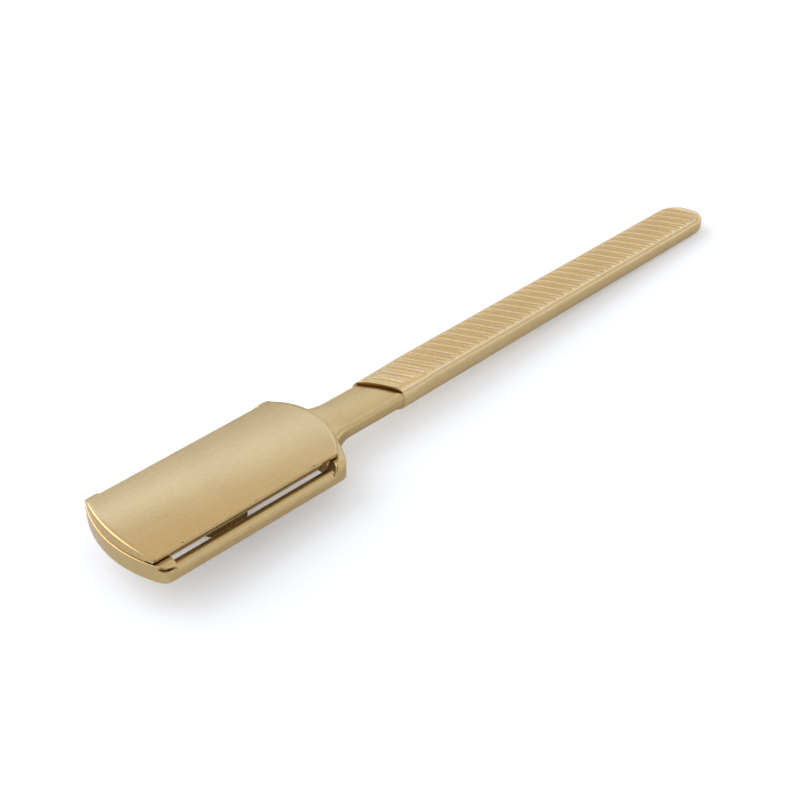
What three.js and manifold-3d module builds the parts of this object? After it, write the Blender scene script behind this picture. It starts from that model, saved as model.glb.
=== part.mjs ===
// Hair shaping razor: a double-edge blade clamped flat between a crowned cover and a guard frame, on a neck
// that carries a long grip with slanted ribs. A knurled nut under the head holds the clamp shut.
// Millimetres. X runs along the tool towards the end of the grip, Y across it and Z up.
// The origin lies under the middle of the tool, on the plane of the nut's foot.
import * as THREE from "three";
import { mergeVertices } from "three/addons/utils/BufferGeometryUtils.js";
import Module from "manifold-3d";

const wasm = await Module();
wasm.setup();

// Driving dimensions: the blade, a standard double-edge one that lies flat in the clamp
const bladeLength = 43;
const bladeWidth = 22;
const bladeThickness = 0.1;
const bladeEdgeLength = 37.3;
const bladeTabWidth = 13;
const bladeSlotWidth = 1.6;

// Driving dimensions: the cover
const coverEndMargin = 0.9;
const bladeReveal = 0.03;
const coverEdge = 0.87;
const coverCrown = 0.82;
const coverFrontBow = 1.85;
const coverRearBow = 4.1;
const coverCorner = 0.3;

// Driving dimensions: the guard frame and its neck
const frameThickness = 4.2;
const frameSoftEdge = 0.4;
const frameCorner = 1.2;
const frontLip = 1.05;
const rearLip = 0.3;
const frameFrontBow = 3.75;
const frameRearBow = 4.2;
const guardReach = 2.4;
const guardHeight = 2.85;
const guardWidth = 2.7;
const guardFall = 0.7;
const guardRound = 1.1;
const shoulderWidth = 2;
const spineWidth = 15.4;
const slotFrontMargin = 0.2;
const slotRearMargin = 1.1;
const neckWidth = 9.7;
const neckCorner = 1.3;
const neckFilletRadius = 7;
const neckLength = 42.8;
const tangLength = 34;
const tangWidth = 4.6;
const tangHeight = 2;

// Driving dimensions: the grip
const gripWidth = 9.9;
const gripEndWidth = 9.5;
const gripHeight = 6.2;
const gripEndHeight = 4.7;
const gripRise = 0.2;
const gripStep = 1.12;
const gripCrown = 0.5;
const gripCorner = 1.2;
const gripTail = 3.1;
const gripNose = 5.2;
const gripNoseThinning = 0.6;
const gripNoseSlant = THREE.MathUtils.degToRad(17);
const ribCount = 37;
const ribPitch = 2.65;
const ribSlant = THREE.MathUtils.degToRad(31);
const ribDepth = 0.42;
const ribRadius = 1.57;
const ribFadeCount = 6;
const ribFadeDepth = 0.2;
const gripPinRadius = 0.8;
const gripPinMargin = 14;

// Driving dimensions: the clamp
const studRadius = 2.5;
const studChamfer = 0.4;
const threadPitch = 0.8;
const threadTurns = 4;
const coverSeatDepth = 0.9;
const locatingPinRadius = 1.3;
const locatingPinSpan = 30;
const locatingPinReach = 2.4;
const washerRadius = 4.8;
const washerThickness = 0.6;
const nutRadius = 5.9;
const nutHeight = 5.3;
const nutFloor = 1;
const nutChamfer = 0.5;
const knurlCount = 30;
const knurlDepth = 0.35;

// Clearances
const seatGap = 0.1;
const fitGap = 0.15;

// How finely round shapes are divided, how near two corners count as one, and how far a cut runs past
const arcSteps = 10;
const sectionSteps = 4;
const circleSteps = 36;
const scoopSides = 24;
const filletSteps = 6;
const noseSteps = 6;
const noseEndAngle = THREE.MathUtils.degToRad(80);
const mergeDistance = 1e-4;
const overcut = 1;

// Levels above the nut's foot
const washerBottom = nutHeight + seatGap;
const frameBottom = washerBottom + washerThickness + seatGap;
const frameTop = frameBottom + frameThickness;
const bladeBottom = frameTop + seatGap;
const coverBottom = bladeBottom + bladeThickness + seatGap;
const studBottom = nutHeight - threadPitch * threadTurns;
const studTop = coverBottom + coverSeatDepth - seatGap;
const pinBottom = frameTop - locatingPinReach;
const gripTop = frameTop + gripStep;
const neckMiddle = (frameBottom + frameTop) / 2;
const guardTop = frameBottom + guardHeight;

// Lengths and half widths that follow
const coverLength = bladeLength + 2 * coverEndMargin;
const coverWidth = bladeWidth - 2 * bladeReveal;
const frameHalfWidth = coverWidth / 2 + guardReach;
const guardInner = frameHalfWidth - guardWidth;
const slotFront = -bladeEdgeLength / 2 - slotFrontMargin;
const slotRear = bladeEdgeLength / 2 + slotRearMargin;
const gripLength = ribCount * ribPitch + gripTail;
const gripPinDistance = tangLength - gripPinMargin;
const slantPerWidth = Math.tan(ribSlant);

// Half a chord of a circle at an offset from its centre, and the radius of an arc that bows over a half chord
const halfChord = (radius, offset) => Math.sqrt(radius * radius - offset * offset);
const bowRadius = (half, bow) => (half * half + bow * bow) / (2 * bow);

// Plan of a plate of the head: its half width, how far its ends reach from the clamp's axis, and their arcs
function headPlate(halfWidth, frontReach, frontBow, rearReach, rearBow) {
  const frontRadius = bowRadius(halfWidth, frontBow);
  const rearRadius = bowRadius(halfWidth, rearBow);
  const frontCentre = frontRadius - frontReach;
  const rearCentre = rearReach - rearRadius;
  return { halfWidth, frontReach, frontRadius, frontCentre, rearReach, rearRadius, rearCentre };
}

const coverFront = coverLength / 2 + coverFrontBow;
const coverRear = coverLength / 2 + coverRearBow;
const coverPlate = headPlate(coverWidth / 2, coverFront, coverFrontBow, coverRear, coverRearBow);
const framePlate = headPlate(
  frameHalfWidth,
  coverFront + frontLip,
  frameFrontBow,
  coverRear + rearLip,
  frameRearBow,
);

// Satin brass in a given tone, and the blade's steel
const satinBrass = (color) => new THREE.MeshStandardMaterial({ color, roughness: 0.4, metalness: 1 });
const bladeSteel = new THREE.MeshStandardMaterial({ color: 0xb9bcc0, roughness: 0.22, metalness: 1 });

// A closed geometry as a solid that can be joined and cut
function solid(geometry) {
  const bare = geometry.clone();
  bare.deleteAttribute("normal");
  bare.deleteAttribute("uv");
  const merged = mergeVertices(bare, mergeDistance);
  const vertProperties = merged.getAttribute("position").array;
  const triVerts = new Uint32Array(merged.index.array);
  return new wasm.Manifold(new wasm.Mesh({ numProp: 3, vertProperties, triVerts }));
}

// A solid back as a geometry with flat facets
function geometryOf(body) {
  const { vertProperties, triVerts } = body.getMesh();
  const indexed = new THREE.BufferGeometry();
  indexed.setAttribute("position", new THREE.BufferAttribute(vertProperties, 3));
  indexed.setIndex(new THREE.BufferAttribute(triVerts, 1));
  const geometry = indexed.toNonIndexed();
  geometry.computeVertexNormals();
  return geometry;
}

// A plan outline raised from one level to another, with its edges softened where asked
function raised(outline, bottom, top, soft = 0) {
  const geometry = new THREE.ExtrudeGeometry(outline, {
    depth: top - bottom - 2 * soft,
    curveSegments: arcSteps,
    bevelEnabled: soft > 0,
    bevelThickness: soft,
    bevelSize: soft,
    bevelOffset: -soft,
    bevelSegments: 2,
  });
  return solid(geometry.translate(0, 0, bottom + soft));
}

// A section drawn in Y and Z and run along X
function drawnOut(section, from, to) {
  const geometry = new THREE.ExtrudeGeometry(section, {
    depth: to - from,
    curveSegments: arcSteps,
    bevelEnabled: false,
  });
  const alongX = new THREE.Matrix4().makeBasis(
    new THREE.Vector3(0, 1, 0),
    new THREE.Vector3(0, 0, 1),
    new THREE.Vector3(1, 0, 0),
  );
  return solid(geometry.applyMatrix4(alongX).translate(from, 0, 0));
}

// A profile of radii and heights turned about Z
function turned(profile) {
  const points = profile.map(([radius, height]) => new THREE.Vector2(radius, height));
  return solid(new THREE.LatheGeometry(points, circleSteps).rotateX(Math.PI / 2));
}

// A round bar about Z, for pins and for the holes that take them
function roundBar(radius, bottom, top, x = 0) {
  return turned([[0, bottom], [radius, bottom], [radius, top], [0, top]]).translate([x, 0, 0]);
}

// A block from one X to another, centred across the tool and about a level
function block(from, to, width, height, middle) {
  const geometry = new THREE.BoxGeometry(to - from, width, height);
  return solid(geometry.translate((from + to) / 2, 0, middle));
}

// Rings with equal numbers of points, joined into one skin and closed by a fan at each end
function loft(rings) {
  const count = rings[0].length;
  const sum = (ring) => ring.reduce((total, point) => total.add(point), new THREE.Vector3());
  const middle = (ring) => sum(ring).divideScalar(count);
  const points = [...rings.flat(), middle(rings[0]), middle(rings.at(-1))];
  const startMiddle = points.length - 2;
  const endMiddle = points.length - 1;
  const lastRing = (rings.length - 1) * count;
  const faces = [];
  for (let j = 0; j < count; j++) {
    const next = (j + 1) % count;
    for (let r = 0; r < lastRing; r += count) {
      faces.push(r + j, r + next, r + count + j);
      faces.push(r + next, r + count + next, r + count + j);
    }
    faces.push(startMiddle, next, j);
    faces.push(endMiddle, lastRing + j, lastRing + next);
  }
  const geometry = new THREE.BufferGeometry().setFromPoints(points);
  geometry.setIndex(faces);
  return solid(geometry);
}

// Outline of such a plate: straight long sides, arcs at the ends, and rounded corners
function plateOutline({ halfWidth, frontRadius, frontCentre, rearRadius, rearCentre }, corner) {
  const frontX = frontCentre - halfChord(frontRadius, halfWidth);
  const rearX = rearCentre + halfChord(rearRadius, halfWidth);
  const front = Math.asin(halfWidth / frontRadius) - corner / frontRadius;
  const rear = Math.asin(halfWidth / rearRadius) - corner / rearRadius;
  const outline = new THREE.Shape();
  outline.moveTo(frontX + corner, -halfWidth);
  outline.lineTo(rearX - corner, -halfWidth);
  outline.quadraticCurveTo(rearX, -halfWidth, ...onCircle(rearCentre, rearRadius, -rear));
  outline.absarc(rearCentre, 0, rearRadius, -rear, rear, false);
  outline.quadraticCurveTo(rearX, halfWidth, rearX - corner, halfWidth);
  outline.lineTo(frontX + corner, halfWidth);
  outline.quadraticCurveTo(frontX, halfWidth, ...onCircle(frontCentre, frontRadius, Math.PI - front));
  outline.absarc(frontCentre, 0, frontRadius, Math.PI - front, Math.PI + front, false);
  outline.quadraticCurveTo(frontX, -halfWidth, frontX + corner, -halfWidth);
  return outline;
}

// A point on a circle about a centre on the tool's middle line
function onCircle(centre, radius, angle) {
  return [centre + radius * Math.cos(angle), radius * Math.sin(angle)];
}

// Section of the neck or the grip about its own axis: upright sides, soft corners, crowned top and bottom
function barSection(width, height, crown, corner) {
  const side = width / 2;
  const edge = height / 2 - crown;
  const flat = side - corner;
  const peak = edge + 2 * crown;
  const section = new THREE.Shape();
  section.moveTo(side, corner - edge);
  section.lineTo(side, edge - corner);
  section.quadraticCurveTo(side, edge, flat, edge);
  section.quadraticCurveTo(0, peak, -flat, edge);
  section.quadraticCurveTo(-side, edge, -side, edge - corner);
  section.lineTo(-side, corner - edge);
  section.quadraticCurveTo(-side, -edge, -flat, -edge);
  section.quadraticCurveTo(0, -peak, flat, -edge);
  section.quadraticCurveTo(side, -edge, side, corner - edge);
  return section;
}

// That section as a ring across the tool, slanted in plan where asked
function barRing(x, middle, section, slant) {
  const points = section.getPoints(sectionSteps).slice(0, -1);
  return points.map((point) => new THREE.Vector3(x - slant * point.x, point.x, middle + point.y));
}

// The neck: wide where it leaves the head, drawn in by a fillet that meets the head's rear arc, and cut off
// on the slant of the ribs where the grip begins
function neckSolid() {
  const { rearRadius, rearCentre } = framePlate;
  const filletY = neckWidth / 2 + neckFilletRadius;
  const filletX = rearCentre + halfChord(rearRadius + neckFilletRadius, filletY);
  const touchAngle = Math.atan2(filletY, filletX - rearCentre);
  const ring = (x, halfWidth, slant) => {
    const section = barSection(2 * halfWidth, frameThickness, 0, neckCorner);
    return barRing(x, neckMiddle, section, slant);
  };
  const rings = [ring(slotRear + neckCorner, rearRadius * Math.sin(touchAngle), 0)];
  for (let i = 0; i <= filletSteps; i++) {
    const angle = THREE.MathUtils.lerp(touchAngle, Math.PI / 2, i / filletSteps);
    const x = filletX - neckFilletRadius * Math.cos(angle);
    rings.push(ring(x, filletY - neckFilletRadius * Math.sin(angle), 0));
  }
  rings.push(ring(neckLength, neckWidth / 2, slantPerWidth));
  return loft(rings);
}

// The slot along one guard bar: right through between spine and bar, and down to the bar's rounded top
function slotSection(side) {
  const spine = side * spineWidth / 2;
  const inner = side * guardInner;
  const outer = side * frameHalfWidth;
  const outside = outer + side * overcut;
  const section = new THREE.Shape();
  section.moveTo(spine, frameBottom - overcut);
  section.lineTo(inner, frameBottom - overcut);
  section.lineTo(inner, guardTop - guardFall);
  section.bezierCurveTo(inner, guardTop, outer, guardTop, outer, guardTop - guardRound);
  section.lineTo(outside, guardTop - guardRound);
  section.lineTo(outside, frameTop + overcut);
  section.lineTo(spine, frameTop + overcut);
  return section;
}

// Section of the head between its ends: flat on top, with round shoulders that fall to the guard bars' level
function shoulderSection() {
  const bend = frameHalfWidth - shoulderWidth / 4;
  const flat = frameHalfWidth - shoulderWidth;
  const section = new THREE.Shape();
  section.moveTo(-frameHalfWidth, frameBottom - overcut);
  section.lineTo(frameHalfWidth, frameBottom - overcut);
  section.lineTo(frameHalfWidth, guardTop);
  section.quadraticCurveTo(bend, frameTop, flat, frameTop);
  section.lineTo(-flat, frameTop);
  section.quadraticCurveTo(-bend, frameTop, -frameHalfWidth, guardTop);
  return section;
}

// The guard frame: head, neck and tang in one piece, with the holes of the clamp and of the grip's pin
function guardFrame() {
  const outline = plateOutline(framePlate, frameCorner);
  const nearSlot = drawnOut(slotSection(-1), slotFront, slotRear);
  const farSlot = drawnOut(slotSection(1), slotFront, slotRear);
  const tang = block(neckLength - gripWidth, neckLength + tangLength, tangWidth, tangHeight, neckMiddle);
  const pinX = neckLength + gripPinDistance;
  let body = raised(outline, frameBottom, frameTop, frameSoftEdge);
  body = body.intersect(drawnOut(shoulderSection(), -framePlate.frontReach - overcut, neckLength));
  body = body.subtract(nearSlot).subtract(farSlot);
  body = body.add(neckSolid()).add(tang);
  body = body.subtract(roundBar(studRadius + fitGap, frameBottom - overcut, frameTop + overcut));
  for (const side of [-1, 1]) {
    const x = side * locatingPinSpan / 2;
    body = body.subtract(roundBar(locatingPinRadius + fitGap, frameBottom - overcut, frameTop + overcut, x));
  }
  return body.subtract(roundBar(gripPinRadius + fitGap, frameBottom, frameTop, pinX));
}

// The grip's top and underside at a distance from its mouth
function gripTopAt(distance) {
  return gripTop + gripRise * distance / gripLength;
}

function gripUndersideAt(distance) {
  return gripTopAt(distance) - THREE.MathUtils.lerp(gripHeight, gripEndHeight, distance / gripLength);
}

// One ring of the grip, its width and corners drawn in and its top and bottom brought together by a share
function gripRing(distance, narrowing, slant) {
  const width = narrowing * THREE.MathUtils.lerp(gripWidth, gripEndWidth, distance / gripLength);
  const thinning = 1 - gripNoseThinning * (1 - narrowing);
  const top = gripTopAt(distance);
  const underside = gripUndersideAt(distance);
  const height = thinning * (top - underside);
  const section = barSection(width, height, gripCrown * narrowing, gripCorner * narrowing);
  return barRing(neckLength + fitGap + distance, (top + underside) / 2, section, slant);
}

// The grip: a tapered bar with a round nose, scooped across its top and underside on the slant of its mouth.
// The first scoops are shallower, so that the ribs fade in behind the mouth.
function grip() {
  const straightEnd = gripLength - gripNose;
  const noseSlant = Math.tan(gripNoseSlant);
  const rings = [gripRing(0, 1, slantPerWidth), gripRing(gripWidth, 1, 0)];
  for (let i = 0; i <= noseSteps; i++) {
    const angle = noseEndAngle * i / noseSteps;
    const reach = Math.sin(angle) / Math.sin(noseEndAngle);
    rings.push(gripRing(straightEnd + gripNose * reach, Math.cos(angle), noseSlant));
  }
  let body = loft(rings);
  const scoop = new THREE.CylinderGeometry(ribRadius, ribRadius, 2 * gripWidth, scoopSides).rotateZ(ribSlant);
  const cutter = solid(scoop);
  for (let i = 0; i < ribCount; i++) {
    const distance = ribPitch * (i + 0.5);
    const x = neckLength + fitGap + distance;
    const depth = THREE.MathUtils.lerp(ribFadeDepth, ribDepth, Math.min(1, i / ribFadeCount));
    body = body.subtract(cutter.translate([x, 0, gripTopAt(distance) - depth + ribRadius]));
    body = body.subtract(cutter.translate([x, 0, gripUndersideAt(distance) + depth - ribRadius]));
  }
  const socketEnd = neckLength + tangLength + fitGap;
  const socketWidth = tangWidth + 2 * fitGap;
  const socketHeight = tangHeight + 2 * fitGap;
  body = body.subtract(block(neckLength - gripWidth, socketEnd, socketWidth, socketHeight, neckMiddle));
  const pinX = neckLength + gripPinDistance;
  return body.subtract(roundBar(gripPinRadius + fitGap, 0, neckMiddle, pinX));
}

// The dowel that keeps the grip on the tang, driven in from below until it lies under the ribs
function gripPin() {
  const bottom = gripUndersideAt(gripPinDistance) + ribDepth + seatGap;
  return roundBar(gripPinRadius, bottom, neckMiddle + tangHeight / 2, neckLength + gripPinDistance);
}

// The cover: a crowned plate with bowed ends, and blind seats under it for the stud and the pins
function cover() {
  const half = coverWidth / 2;
  const edgeTop = coverBottom + coverEdge;
  const crownRadius = bowRadius(half, coverCrown);
  const crownCentre = edgeTop + coverCrown - crownRadius;
  const crownStart = Math.acos(half / crownRadius);
  const section = new THREE.Shape();
  section.moveTo(-half, coverBottom);
  section.lineTo(half, coverBottom);
  section.lineTo(half, edgeTop);
  section.absarc(0, crownCentre, crownRadius, crownStart, Math.PI - crownStart);
  const outline = plateOutline(coverPlate, coverCorner);
  const plate = drawnOut(section, -coverLength, coverLength);
  let body = plate.intersect(raised(outline, coverBottom - overcut, edgeTop + coverCrown + overcut));
  const seatTop = coverBottom + coverSeatDepth;
  body = body.subtract(roundBar(studRadius + fitGap, coverBottom - overcut, seatTop));
  for (const side of [-1, 1]) {
    const x = side * locatingPinSpan / 2;
    body = body.subtract(roundBar(locatingPinRadius + fitGap, coverBottom - overcut, seatTop, x));
  }
  return body;
}

// The stud under the cover, with a chamfered end that enters the nut
function clampStud() {
  return turned([
    [0, studBottom],
    [studRadius - studChamfer, studBottom],
    [studRadius, studBottom + studChamfer],
    [studRadius, studTop],
    [0, studTop],
  ]);
}

// The blade: cutting edges along both sides, narrower tabs at the ends, and a slot with three round holes
function blade() {
  const edge = bladeEdgeLength / 2;
  const end = bladeLength / 2;
  const slotEnd = locatingPinSpan / 2;
  const middle = bladeBottom + bladeThickness / 2;
  let body = block(-edge, edge, bladeWidth, bladeThickness, middle);
  body = body.add(block(-end, end, bladeTabWidth, bladeThickness, middle));
  body = body.subtract(block(-slotEnd, slotEnd, bladeSlotWidth, overcut, middle));
  for (const [x, radius] of [[0, studRadius], [-slotEnd, locatingPinRadius], [slotEnd, locatingPinRadius]]) {
    body = body.subtract(roundBar(radius + fitGap, middle - overcut, middle + overcut, x));
  }
  return body;
}

// The washer between nut and frame
function clampWasher() {
  const inner = studRadius + fitGap;
  const top = washerBottom + washerThickness;
  return turned([
    [inner, washerBottom],
    [washerRadius, washerBottom],
    [washerRadius, top],
    [inner, top],
    [inner, washerBottom],
  ]);
}

// The thumb nut: straight knurls round its side, chamfered rims, a flat foot and a blind bore from above
function thumbNut() {
  const knurls = [];
  for (let i = 0; i < 2 * knurlCount; i++) {
    const radius = nutRadius - (i % 2) * knurlDepth;
    knurls.push(new THREE.Vector2(...onCircle(0, radius, Math.PI * i / knurlCount)));
  }
  const rims = turned([
    [0, 0],
    [nutRadius - nutChamfer, 0],
    [nutRadius, nutChamfer],
    [nutRadius, nutHeight - nutChamfer],
    [nutRadius - nutChamfer, nutHeight],
    [0, nutHeight],
  ]);
  const body = raised(new THREE.Shape(knurls), 0, nutHeight).intersect(rims);
  return body.subtract(roundBar(studRadius + fitGap, nutFloor, nutHeight + overcut));
}

// One named piece of the tool
function piece(name, body, material) {
  const mesh = new THREE.Mesh(geometryOf(body), material);
  mesh.name = name;
  return mesh;
}

// One of the two pins under the cover, set on either side of the stud
function locatingPin(name, side) {
  const mesh = piece(name, roundBar(locatingPinRadius, pinBottom, studTop), satinBrass(0xc4a670));
  mesh.position.x = side * locatingPinSpan / 2;
  return mesh;
}

// The pieces, still about the clamp's axis
const razor = new THREE.Group();
razor.add(
  piece("guard_frame", guardFrame(), satinBrass(0xc3a46c)),
  piece("grip", grip(), satinBrass(0xc6a76f)),
  piece("grip_pin", gripPin(), satinBrass(0xbf9f68)),
  piece("cover", cover(), satinBrass(0xcdb380)),
  piece("clamp_stud", clampStud(), satinBrass(0xc4a670)),
  locatingPin("locating_pin_front", -1),
  locatingPin("locating_pin_rear", 1),
  piece("blade", blade(), bladeSteel),
  piece("clamp_washer", clampWasher(), satinBrass(0xbfa06a)),
  piece("thumb_nut", thumbNut(), satinBrass(0xb8975f)),
);

// The tool, laid so that its middle stands over the origin
const extent = new THREE.Box3().setFromObject(razor);
razor.position.x = -(extent.min.x + extent.max.x) / 2;
const tool = new THREE.Group();
tool.add(razor);

export default tool;
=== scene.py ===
# %% [markdown]
# # A hair shaping razor in satin brass
# The tool clamps a thin double-edge blade between a crowned cover and a guard frame. The measured solids
# come first, as a fixed frame: every piece that is modelled here goes where they say. They stay plain
# and faceted, so the pieces that show are modelled again with soft edges and smooth skins.

# %% Load the measured frame
import bmesh
import bpy
import math
from mathutils import Matrix, Vector


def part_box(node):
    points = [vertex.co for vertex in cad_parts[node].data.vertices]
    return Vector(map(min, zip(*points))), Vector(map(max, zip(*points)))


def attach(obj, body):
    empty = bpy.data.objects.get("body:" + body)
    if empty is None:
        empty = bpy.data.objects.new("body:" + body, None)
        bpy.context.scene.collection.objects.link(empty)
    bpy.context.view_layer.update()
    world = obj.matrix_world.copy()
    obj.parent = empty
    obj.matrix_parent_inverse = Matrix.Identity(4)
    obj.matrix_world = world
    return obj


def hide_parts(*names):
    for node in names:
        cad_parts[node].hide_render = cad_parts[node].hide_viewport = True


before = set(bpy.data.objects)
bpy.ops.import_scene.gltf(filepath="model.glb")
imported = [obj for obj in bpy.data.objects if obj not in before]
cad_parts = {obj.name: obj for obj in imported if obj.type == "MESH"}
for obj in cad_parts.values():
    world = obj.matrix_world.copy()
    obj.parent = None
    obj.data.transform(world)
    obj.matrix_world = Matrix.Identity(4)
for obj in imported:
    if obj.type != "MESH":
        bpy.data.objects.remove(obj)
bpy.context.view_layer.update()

MM = 0.001
nut_low, nut_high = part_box("thumb_nut")
clamp_x = (nut_low.x + nut_high.x) / 2
print("clamp axis at x =", round(clamp_x / MM, 3), "mm")

# %% [markdown]
# ## The camera
# The tool lies on a table and is seen from its front, about 39 degrees down. A camera is a place and three
# directions: its right, its up and its back. They were worked out from the edges of the tool in the
# picture, so they are written here as they came out, and the lens goes with them. The place is counted
# from the clamp's axis, at the level of the cover's long edges.

# %% Camera
EYE = (-135.72 * MM, -202.55 * MM, 216.22 * MM)
RIGHT = Vector((0.73878, -0.67395, 0.0))
UP = Vector((0.42644, 0.46746, 0.77436))
BACK = Vector((-0.52188, -0.57208, 0.63274))
LENS = 74.58
COVER_EDGE = 0.87 * MM

cover_low, cover_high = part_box("cover")
eye = Vector((clamp_x + EYE[0], EYE[1], cover_low.z + COVER_EDGE + EYE[2]))
camera_data = bpy.data.cameras.new("camera")
camera_data.sensor_width = 36
camera_data.lens = LENS
camera_data.clip_start = 0.01
camera_data.clip_end = 50
camera = bpy.data.objects.new("camera", camera_data)
bpy.context.scene.collection.objects.link(camera)
camera.matrix_world = Matrix((
    (RIGHT.x, UP.x, BACK.x, eye.x),
    (RIGHT.y, UP.y, BACK.y, eye.y),
    (RIGHT.z, UP.z, BACK.z, eye.z),
    (0, 0, 0, 1),
))
bpy.context.scene.camera = camera
print("camera at", [round(v / MM, 1) for v in eye], "mm")

# %% [markdown]
# ## Selecting
# Modelling by script is the same as by hand: select something, then use an operator on it. An operator
# acts on everything selected, so each piece starts from an empty selection. These helpers empty it, choose
# one part, and pick the corners or the edges of a part by their place.

# %% Helpers for selecting
def start_fresh():
    """Leave edit mode and select nothing"""
    if bpy.context.object and bpy.context.object.mode != "OBJECT":
        bpy.ops.object.mode_set(mode="OBJECT")
    bpy.ops.object.select_all(action="DESELECT")


def only(part):
    """Make a part the one selected and active object"""
    start_fresh()
    part.select_set(True)
    bpy.context.view_layer.objects.active = part


def pick(test):
    """In edit mode, select the corners whose place passes a test"""
    bpy.ops.mesh.select_all(action="DESELECT")
    mesh = bpy.context.edit_object.data
    shape = bmesh.from_edit_mesh(mesh)
    for corner in shape.verts:
        corner.select_set(bool(test(corner.co)))
    shape.select_flush(True)
    bmesh.update_edit_mesh(mesh)


def pick_edges(test):
    """In edit mode, select the edges whose two ends pass a test"""
    bpy.ops.mesh.select_mode(type="EDGE")
    bpy.ops.mesh.select_all(action="DESELECT")
    mesh = bpy.context.edit_object.data
    shape = bmesh.from_edit_mesh(mesh)
    for edge in shape.edges:
        edge.select_set(bool(test(edge.verts[0].co, edge.verts[1].co)))
    bmesh.update_edit_mesh(mesh)


# %% [markdown]
# ## Finishing a piece
# A modifier is a change that can still be taken back. Here each one is set and applied at once, so that the
# mesh itself holds the shape. A finished piece gets a name, a smooth skin, the body that it moves with, and
# the measured node that it stands for.

# %% Helpers for finishing
def apply_modifier(part, kind, **settings):
    """Add a modifier, set it and apply it"""
    only(part)
    modifier = part.modifiers.new(kind.lower(), kind)
    for name, value in settings.items():
        setattr(modifier, name, value)
    bpy.ops.object.modifier_apply(modifier=modifier.name)


def finish_piece(part, name, body, node, angle=35):
    """Name a piece, smooth its skin, and let it ride in place of its measured node"""
    only(part)
    bpy.ops.object.transform_apply(location=True, rotation=True, scale=True)
    bpy.ops.object.shade_smooth_by_angle(angle=math.radians(angle))
    part.name = part.data.name = name
    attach(part, body)
    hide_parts(node)
    size = [round(v / MM, 2) for v in part.dimensions]
    print(name, "size in mm", size, "faces", len(part.data.polygons))


# %% [markdown]
# ## Bowed sheets
# The cover and the head of the frame share one kind of plan: straight long sides and an arc at each end.
# An arc is one corner spun round a centre. Two arcs with equal numbers of corners can be bridged, which
# fills the space between them with a neat grid of faces, so later bevels have clean edges to follow.

# %% Helper for a bowed sheet
def bowed_sheet(half_width, front, front_bow, rear, rear_bow, corner, level, columns, rows, turns=8):
    """A flat sheet between two spun ends, given by their tips and bows, with rounded corners"""
    start_fresh()
    bpy.ops.mesh.primitive_plane_add(size=1 * MM)
    bpy.ops.object.mode_set(mode="EDIT")
    for tip, bow, side in ((front, front_bow, 1), (rear, rear_bow, -1)):
        if side < 0:
            bpy.ops.mesh.select_all(action="DESELECT")
            bpy.ops.mesh.primitive_plane_add(size=1 * MM)
        radius = (half_width ** 2 + bow ** 2) / (2 * bow)
        centre = tip + side * radius
        lean = math.asin((half_width - corner) / (radius - corner))
        bend = (math.pi / 2 - lean) * side
        corner_x = centre - side * (radius - corner) * math.cos(lean)
        corner_y = half_width - corner
        bpy.ops.mesh.merge(type="CENTER")
        bpy.ops.transform.translate(value=(corner_x, -half_width, level))
        for steps, angle, middle in (
                (turns, bend, (corner_x, -corner_y, level)),
                (columns, 2 * lean * side, (centre, 0, level)),
                (turns, bend, (corner_x, corner_y, level))):
            bpy.ops.mesh.spin(steps=steps, angle=angle, center=middle, axis=(0, 0, 1))
    bpy.ops.mesh.select_all(action="SELECT")
    bpy.ops.mesh.bridge_edge_loops(number_cuts=rows, interpolation="LINEAR")
    bpy.ops.object.mode_set(mode="OBJECT")
    print("sheet of", len(bpy.context.object.data.polygons), "faces")
    return bpy.context.object


# %% [markdown]
# ## The cover
# On the real tool the cover is a thin plate with a crown across it, flat underneath. A flat sheet is
# pressed onto a very large roller to get the crown exactly, which is easier to control than bending by eye.
# Then the sheet is pulled down and its underside is flattened. Near both ends a shallow foot reaches down
# towards the frame, so that little light shows between them. The front wall slopes outwards at its foot,
# and the rim gets the small rounding that catches the light.

# %% Crowned top of the cover
COVER_FRONT_BOW = 1.85 * MM
COVER_REAR_BOW = 4.1 * MM
COVER_FRONT_OUT = 0.2 * MM
COVER_CORNER = 0.6 * MM
ROLLER_SIDES = 4096
ROLLER_LENGTH = 200 * MM

cover_half = cover_high.y
crown = cover_high.z - cover_low.z - COVER_EDGE
crown_radius = (cover_half ** 2 + crown ** 2) / (2 * crown)
cover_front = cover_low.x - COVER_FRONT_OUT
cover = bowed_sheet(cover_half, cover_front, COVER_FRONT_BOW, cover_high.x, COVER_REAR_BOW,
                    COVER_CORNER, cover_high.z, columns=48, rows=44)
start_fresh()
bpy.ops.mesh.primitive_cylinder_add(
    vertices=ROLLER_SIDES, radius=crown_radius, depth=ROLLER_LENGTH, rotation=(0, math.pi / 2, 0),
    location=(clamp_x, 0, cover_high.z - crown_radius))
roller = bpy.context.object
apply_modifier(cover, "SHRINKWRAP", target=roller, wrap_method="PROJECT", use_project_z=True,
               use_negative_direction=True, use_positive_direction=True)
bpy.data.objects.remove(roller, do_unlink=True)
print("crown of", round(crown / MM, 2), "mm from a roller of radius", round(crown_radius / MM, 1), "mm")

# %% Underside, feet and front wall of the cover
TINY = 0.001 * MM
COVER_PULL = 2 * MM
FOOT_HEIGHT = 0.22 * MM
FOOT_FROM = 22 * MM
FRONT_BAND = 0.4 * MM
COVER_DRAFT = 0.45 * MM

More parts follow.
